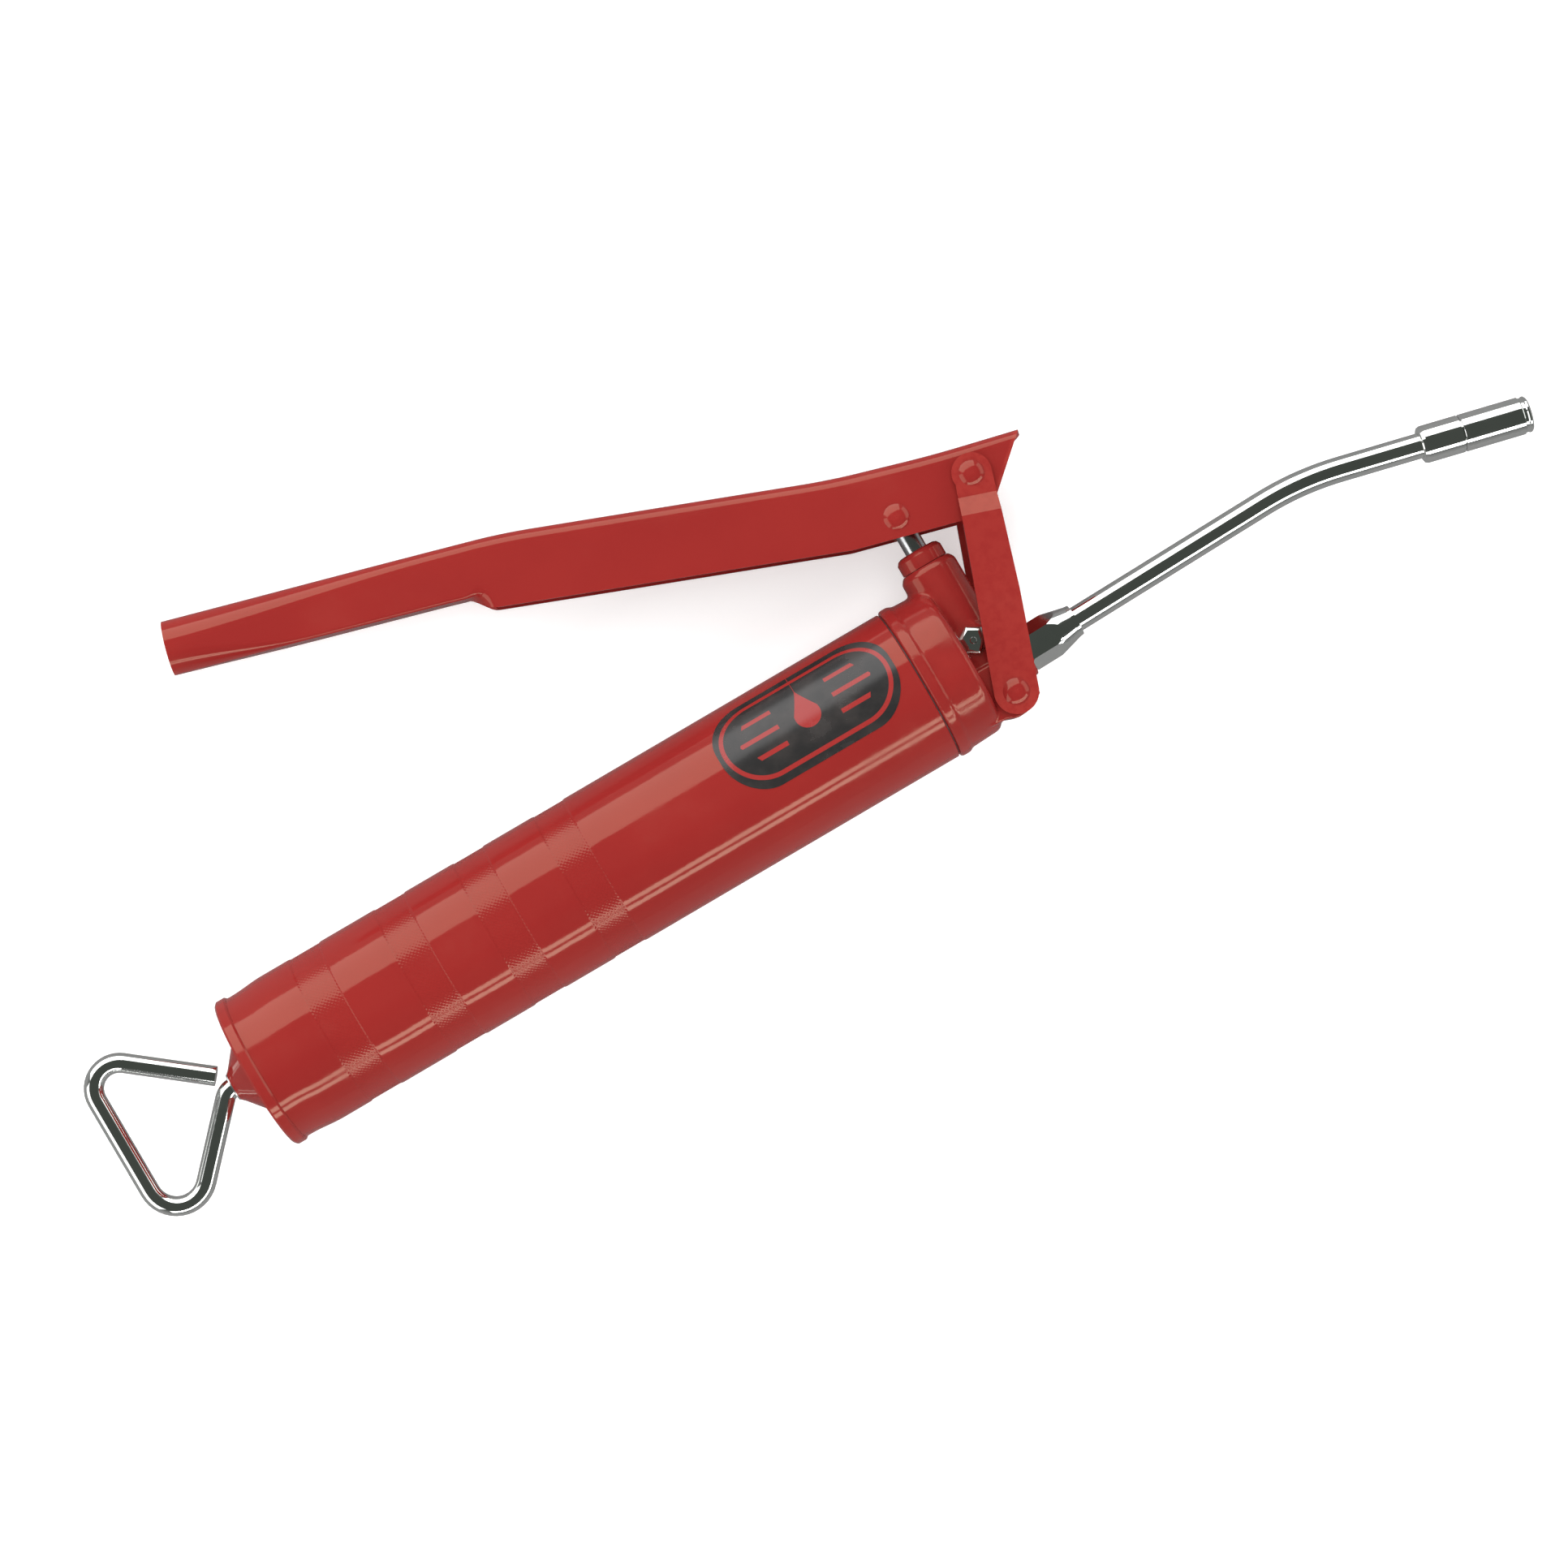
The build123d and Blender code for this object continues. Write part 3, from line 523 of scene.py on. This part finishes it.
# pieces worked out as surfaces
# u runs along the piece and v round it; quads join each point to its neighbours
def addSurface(name, points, closedU, closedV, finish, body, sharpAngle, merge=False):
    rows, columns = points.shape[:2]
    index = np.arange(rows * columns).reshape(rows, columns)
    lower = index if closedU else index[:-1]
    upper = np.roll(index, -1, axis=0) if closedU else index[1:]
    if closedV:
        sides = (lower, np.roll(lower, -1, axis=1), np.roll(upper, -1, axis=1), upper)
    else:
        sides = (lower[:, :-1], lower[:, 1:], upper[:, 1:], upper[:, :-1])
    faces = np.stack(sides, axis=-1).reshape(-1, 4)
    flat = points.reshape(-1, 3)
    a, b, c, d = (flat[faces[:, k]] for k in range(4))
    middle = flat.mean(0)
    # faces point outwards: the sum over the faces of centre times area vector is then above zero
    volume = np.einsum("ij,ij->", (a + b + c + d) / 4 - middle, np.cross(c - a, d - b))
    if volume < 0:
        faces = faces[:, ::-1]
    mesh = bpy.data.meshes.new(name)
    mesh.vertices.add(len(flat))
    mesh.vertices.foreach_set("co", flat.astype(np.float32).ravel())
    mesh.loops.add(faces.size)
    mesh.loops.foreach_set("vertex_index", faces.astype(np.int32).ravel())
    mesh.polygons.add(len(faces))
    mesh.polygons.foreach_set("loop_start", np.arange(0, faces.size, 4, dtype=np.int32))
    mesh.update(calc_edges=True)
    if merge:
        work = bmesh.new()
        work.from_mesh(mesh)
        bmesh.ops.remove_doubles(work, verts=work.verts, dist=1e-7)
        bmesh.ops.dissolve_degenerate(work, edges=work.edges, dist=1e-7)
        work.to_mesh(mesh)
        work.free()
    mesh.shade_smooth()
    mesh.set_sharp_from_angle(angle=math.radians(sharpAngle))
    mesh.materials.append(finishes[finish])
    piece = bpy.data.objects.new(name, mesh)
    scene.collection.objects.link(piece)
    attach(piece, body)
    return piece


def smoothStep(x, start, end):
    t = np.clip((np.asarray(x, float) - start) / (end - start), 0, 1)
    return t * t * (3 - 2 * t)


def unit(vectors):
    return vectors / np.linalg.norm(vectors, axis=-1, keepdims=True)


# the corners of a CAD object's mesh, in metres in the scene
def cadPoints(node):
    mesh = frame["nodes"][node].data
    flat = np.zeros(len(mesh.vertices) * 3)
    mesh.vertices.foreach_get("co", flat)
    return flat.reshape(-1, 3)


# lever
lever = {
    # mm in the gun's directions: corners of the back's line, then of the foot line
    "tip": (72.2, 58.9), "brow": (42.0, 66.2), "knee": (7.0, 76.6), "heel": (-100.0, 118.0),
    "end": (-216.3, 151.1),
    "frontFoot": (49.1, 38.6), "midFoot": (2.0, 51.3), "backFoot": (-114.1, 96.4),
    "halfWidth": 10.5, "corner": 4.5, "handle": 9.6, "sheet": 2.0, "seam": 0.14, "underCorner": 1.5,
    # where along x the channel narrows, turns round, gets round lower corners and folds shut
    "narrowFrom": -60.0, "narrowTo": -126.0, "roundFrom": -122.0, "roundTo": -218.0, "underFrom": -168.0,
    "foldFrom": -107.0, "foldTo": -117.0,
    "blend": 10.0, "blendSteps": 21, "slantRun": 42.0, "rim": 0.3, "rimAngle": 50.0, "leastSide": 0.1,
    "step": 1.4, "half": 64, "dense": 1.6,  # rows each 1.4 mm, columns each side, more of them on corners
}


# A section is a channel with round corners: flat back, quarter circles of the corner's radius,
# straight sides down to the foot line. In the handle the sides turn in under it and meet in a seam,
# and all four corners grow to the handle's radius, which makes the section a circle at the end.
def makeLever(look):
    corners = np.array([look[place] for place in ("tip", "brow", "knee", "heel", "end")])
    runs = np.linalg.norm(np.diff(corners, axis=0), axis=1)
    marks = np.concatenate([[0], np.cumsum(runs)])
    spare = 30.0  # the back's line goes on past both ends, so its averages there stay straight
    first = corners[0] - (corners[1] - corners[0]) / runs[0] * spare
    last = corners[-1] + (corners[-1] - corners[-2]) / runs[-1] * spare
    knots = np.vstack([first, corners[1:-1], last])
    places = np.concatenate([[-spare], marks[1:-1], [marks[-1] + spare]])

    def backLine(stations):  # a bent line averaged over a short window, so its bends are soft
        offsets = np.linspace(-look["blend"], look["blend"], look["blendSteps"])
        where = stations[:, None] + offsets
        return np.stack([np.interp(where, places, knots[:, k]).mean(1) for k in range(2)], axis=1)

    stations = np.linspace(0, marks[-1], int(marks[-1] / look["step"]))
    back = backLine(stations)
    along = unit(backLine(stations + 0.1) - backLine(stations - 0.1))
    down = np.stack([-along[:, 1], along[:, 0]], axis=1)
    # at the tip the sections lean as the front edge does
    slant = np.array(look["frontFoot"]) - corners[0]
    slant = slant / np.linalg.norm(slant)
    share = (1 - smoothStep(stations, 0, look["slantRun"]))[:, None]
    down = unit(down * (1 - share) + slant * share)
    # depth: how far down a section meets the foot line, which is the nearer of two straight lines
    depths = []
    for start, end in (("frontFoot", "midFoot"), ("midFoot", "backFoot")):
        foot = np.array(look[start])
        run = np.array(look[end]) - foot
        square = np.array([-run[1], run[0]])
        depths.append(-((back - foot) @ square) / (down @ square))
    depth = np.minimum(*depths)[:, None]
    x = back[:, :1]
    narrow = 1 - smoothStep(x, look["narrowTo"], look["narrowFrom"])
    roundness = 1 - smoothStep(x, look["roundTo"], look["roundFrom"])
    fold = 1 - smoothStep(x, look["foldTo"], look["foldFrom"])
    wide = look["halfWidth"] + (look["handle"] - look["halfWidth"]) * narrow
    corner = look["corner"] + (wide - look["corner"]) * roundness
    underGrowth = 1 - smoothStep(x, look["roundTo"], look["underFrom"])
    under = look["underCorner"] + (look["handle"] - look["underCorner"]) * underGrowth
    u = np.linspace(-1, 1, 2 * look["half"] + 1)[None, :]
    far = np.abs(u)
    dense = 1 + look["dense"] * (1 - roundness)

    def section(runs):  # how far a column has gone along each of the runs that follow one another
        gone = far * sum(runs)
        parts = []
        for run in runs:
            parts.append(np.clip(gone, 0, run))
            gone = gone - run
        return parts

    flatRun, bendRun, underRun = wide - corner, corner * np.pi / 2, under * np.pi / 2
    # the open channel
    sideRun = np.maximum(depth - corner, look["leastSide"])
    flat, bend, side = section((flatRun, bendRun * dense, sideRun))
    turn = bend / dense / corner
    across = flat + corner * np.sin(turn)
    fall = corner * (1 - np.cos(turn)) + side
    # the closed handle
    sideRun = 2 * wide - corner - under
    lastRun = wide - under - look["seam"] * (1 - roundness)
    flat, bend, side, bendIn, last = section((flatRun, bendRun * dense, sideRun, underRun * dense, lastRun))
    turn = bend / dense / corner
    turnIn = bendIn / dense / under * (1 - look["seam"] / look["handle"] * roundness * 2 / np.pi)
    acrossShut = flat + corner * np.sin(turn) - under * (1 - np.cos(turnIn)) - last
    fallShut = corner * (1 - np.cos(turn)) + side + under * np.sin(turnIn)
    across = (across * (1 - fold) + acrossShut * fold) * np.sign(u)
    fall = fall * (1 - fold) + fallShut * fold
    points = np.stack([x + fall * down[:, :1], back[:, 1:] + fall * down[:, 1:], across], axis=-1)
    piece = addSurface("leverShell", toWorld(points), False, False, "redEnamel", "lever", 60.0)
    wall = piece.modifiers.new("sheet", "SOLIDIFY")
    wall.thickness = look["sheet"] / 1000
    wall.offset = -1
    rim = piece.modifiers.new("rim", "BEVEL")
    rim.width = look["rim"] / 1000
    rim.segments = 2
    rim.limit_method = "ANGLE"
    rim.angle_limit = math.radians(look["rimAngle"])
    rim.harden_normals = True
    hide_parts("lever")


makeLever(lever)
print("lever pressed")

# barrel tube
barrel = {
    "bands": (-231.1, -197.3, -165.8, -133.9), "bandWidth": 12.0, "bandDepth": 0.34, "bandEdge": 0.5,
    "diamonds": 120, "knurl": 0.11, "bore": 26.85, "neckStart": -248.5, "neckWidth": 2.0, "neck": 27.45,
    "lipBore": 26.45, "lipRun": 3.0, "boreRows": (-200.0, -100.0), "plainStep": 9.0, "rimRound": 0.25,
    "edgeRows": 5, "neckRows": 10, "clear": 0.3,
}


# A surface of revolution. Inside a band its radius is the tube's, less the band's depth, plus the
# product of a cosine round the tube and one along it, which crosses two sets of slanting ridges.
def makeBarrel(look):
    low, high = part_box("barrel_tube")
    radius = (high.z - low.z) * 500  # half the height, in mm
    front, rear = toGun(high)[0], toGun(low)[0]
    pitch = 2 * math.pi * radius / look["diamonds"]
    edge = look["bandEdge"]
    bands = np.array(look["bands"])
    spans = [(middle - look["bandWidth"] / 2, middle + look["bandWidth"] / 2) for middle in bands]
    plain = np.arange(front - 1, look["neckStart"], -look["plainStep"])
    rows = [plain]
    for start, end in spans:
        rows.append(np.linspace(start - edge, start + edge, look["edgeRows"]))
        rows.append(np.linspace(end - edge, end + edge, look["edgeRows"]))
        rows.append(np.arange(start + edge + pitch / 4, end - edge - pitch / 8, pitch / 4))
    x = np.unique(np.round(np.concatenate(rows), 3))[::-1]
    # no plain row falls inside a band's knurl
    byBand = np.abs(x[:, None] - bands).min(1) < look["bandWidth"] / 2 + edge + look["clear"]
    x = x[~(byBand & np.isin(x, np.round(plain, 3)))]
    inBand = sum(
        smoothStep(x, start - edge, start + edge) * (1 - smoothStep(x, end - edge, end + edge))
        for start, end in spans
    )
    neckEnd = rear + look["neckWidth"]
    neckX = np.linspace(look["neckStart"], neckEnd, look["neckRows"])
    neckR = radius - (radius - look["neck"]) * smoothStep(-neckX, -look["neckStart"], -neckEnd)
    # round the rear rim, back through the bore and round the front rim
    tail = [(rear, look["neck"]), (rear, look["lipBore"]), (neckEnd, look["lipBore"])]
    tail += [(place, look["bore"]) for place in (neckEnd + look["lipRun"], *look["boreRows"], front)]
    tail += [(front, radius - look["rimRound"]), (front - look["rimRound"], radius)]
    tail = np.array(tail, float)
    profileX = np.concatenate([x, neckX, tail[:, 0]])[:, None]
    profileR = np.concatenate([radius - look["bandDepth"] * inBand, neckR, tail[:, 1]])[:, None]
    band = np.concatenate([inBand, np.zeros(len(neckX) + len(tail))])[:, None]
    angle = np.linspace(0, 2 * np.pi, 4 * look["diamonds"], endpoint=False)[None, :]
    centre = bands[np.abs(profileX - bands).argmin(1)][:, None]
    ridge = np.cos(look["diamonds"] * angle) * np.cos(2 * np.pi * (profileX - centre) / pitch)
    around = profileR + look["knurl"] * ridge * band
    points = np.stack([profileX + 0 * around, around * np.sin(angle), around * np.cos(angle)], axis=-1)
    piece = addSurface("barrelShell", toWorld(points), True, True, "redEnamel", "barrel", 40.0)
    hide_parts("barrel_tube")
    print("barrel rolled:", len(piece.data.polygons), "faces")


makeBarrel(barrel)

# bleeder: a hexagon with a domed top on its stem
bleeder = {
    "flat": 4.7, "stem": 2.9, "well": 2.2, "hole": 1.3, "foot": 1.0,  # radii, mm
    "head": 2.5, "dome": 0.62, "domeRows": 8, "domePower": 0.8, "holeDepth": 1.5, "wellFloor": 1.1,
    "around": 96,
}


# A turned outline whose widest part is a hexagon: the radius there is the flat's distance divided by
# the cosine of the angle from the middle of the flat. The top rises to the hole as a quarter ellipse.
def makeBleeder(look):
    verts = toGun(cadPoints("bleeder_body"))
    bottom, top = verts[:, 2].min(), verts[:, 2].max()
    middle = (verts.max(0) + verts.min(0)) / 2
    angle = np.linspace(0, 2 * np.pi, look["around"], endpoint=False)
    sector = np.mod(angle + np.pi / 6, np.pi / 3) - np.pi / 6
    hexagon = look["flat"] / np.cos(sector)
    shoulder, edge = top - look["head"], top - look["head"] * look["dome"]
    under, floor = top - look["holeDepth"], bottom + look["wellFloor"]
    foot, stem, hole, well = look["foot"], look["stem"], look["hole"], look["well"]
    rings = [(bottom, foot), (bottom, stem), (shoulder, stem), (shoulder, hexagon), (edge, hexagon)]
    for t in np.linspace(0, np.pi / 2, look["domeRows"] + 1)[1:]:
        radius = hole + (hexagon - hole) * math.cos(t) ** look["domePower"]
        rings.append((edge + (top - edge) * math.sin(t), radius))
    rings += [(under, hole), (under, well), (floor, well), (floor, foot)]
    heights = np.array([height + 0 * angle for height, radius in rings])
    radii = np.array([radius + 0 * angle for height, radius in rings])
    points = np.stack([middle[0] + radii * np.cos(angle), middle[1] + radii * np.sin(angle), heights], axis=-1)
    piece = addSurface("bleederHexagon", toWorld(points), True, True, "brightPlate", "head",
                       32.0)
    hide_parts("bleeder_body")


makeBleeder(bleeder)
print("bleeder turned")

# springs
springs = {  # wire is the wire's radius in mm
    "follower_spring": {"wire": 1.1, "turns": 18, "joint": "follower_pull", "body": "barrel", "sides": 14},
    "coupler_spring": {"wire": 0.45, "turns": 4, "joint": "jaw_slide", "body": "head", "sides": 10},
    "check_spring": {"wire": 0.4, "turns": 5, "joint": "check_ball_lift", "body": "head", "sides": 10},
    "bleeder_spring": {"wire": 0.2, "turns": 5, "joint": "bleeder_press", "body": "head", "sides": 8},
}
coil = {"stepsPerTurn": 28, "closedTurns": 0.85, "closedRise": 0.55, "leastKeep": 0.1}


# A coil: a circle carried along a helix whose pitch closes up over the first and last turn.
def makeSpring(name, look):
    joint = joints[look["joint"]]
    axis = unit(np.array(joint["axis"]))
    verts = cadPoints(name)
    run = verts @ axis
    low, high = run.min(), run.max()
    # the side is square to the axis and to the gun's z, or to its x if the axis runs along z
    side = unit(np.cross(axis, gunZ) if abs(axis @ gunZ) < 0.9 else np.cross(axis, gunX))
    other = np.cross(axis, side)
    onSide, onOther = verts @ side, verts @ other
    centre = side * (onSide.max() + onSide.min()) / 2 + other * (onOther.max() + onOther.min()) / 2
    wire = look["wire"] / 1000
    mean = (onSide.max() - onSide.min()) / 2 - wire
    t = np.linspace(0, 1, look["turns"] * coil["stepsPerTurn"] + 1)
    closed = coil["closedTurns"] / look["turns"]  # share of the turns that lie flat at each end
    rise = np.clip((t - closed) / (1 - 2 * closed), 0, 1)
    thick = 2 * wire * coil["closedTurns"] * coil["closedRise"]
    climb = low + wire + thick * np.clip(t / closed, 0, 1)
    climb = climb + (high - low - 2 * wire - 2 * thick) * rise
    climb = climb + thick * np.clip((t - 1 + closed) / closed, 0, 1)
    turn = 2 * np.pi * look["turns"] * t[:, None]
    outward = side * np.cos(turn) + other * np.sin(turn)
    line = centre + axis * climb[:, None] + mean * outward
    ahead = unit(np.gradient(line, axis=0))
    outward = unit(outward - ahead * np.sum(outward * ahead, axis=1, keepdims=True))
    across = np.cross(ahead, outward)
    lap = np.linspace(0, 2 * np.pi, look["sides"], endpoint=False)[None, :, None]
    points = line[:, None] + wire * (np.cos(lap) * outward[:, None] + np.sin(lap) * across[:, None])
    caps = [np.repeat(line[end, None], look["sides"], 1) for end in (slice(0, 1), slice(-1, None))]
    points = np.concatenate([caps[0], points, caps[1]])
    piece = addSurface(name + "_wire", points, False, True, "drawnWire", look["body"], 50.0,
                       merge=True)
    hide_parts(name)
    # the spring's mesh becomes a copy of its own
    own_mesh(piece)


for name, look in springs.items():
    makeSpring(name, look)
print("springs wound")

# casting: the CAD head, merged and remeshed so that its corners soften as in a sand casting
casting = {"voxel": 0.52, "smooth": 12, "share": 0.5}


def makeCasting(look):
    mesh = frame["nodes"]["head_casting"].data.copy()
    mesh.name = "headCasting"
    work = bmesh.new()
    work.from_mesh(mesh)
    bmesh.ops.remove_doubles(work, verts=work.verts, dist=1e-6)
    work.to_mesh(mesh)
    work.free()
    piece = bpy.data.objects.new("headCasting", mesh)
    scene.collection.objects.link(piece)
    remesh = piece.modifiers.new("voxels", "REMESH")
    remesh.mode = "VOXEL"
    remesh.voxel_size = look["voxel"] / 1000
    soften = piece.modifiers.new("soften", "SMOOTH")
    soften.factor = look["share"]
    soften.iterations = look["smooth"]
    made = bpy.data.meshes.new_from_object(piece.evaluated_get(bpy.context.evaluated_depsgraph_get()))
    piece.modifiers.clear()
    piece.data = made
    made.shade_smooth()
    made.materials.clear()
    made.materials.append(finishes["redCasting"])
    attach(piece, "head")
    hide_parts("head_casting")
    print("casting:", len(made.polygons), "faces")


makeCasting(casting)
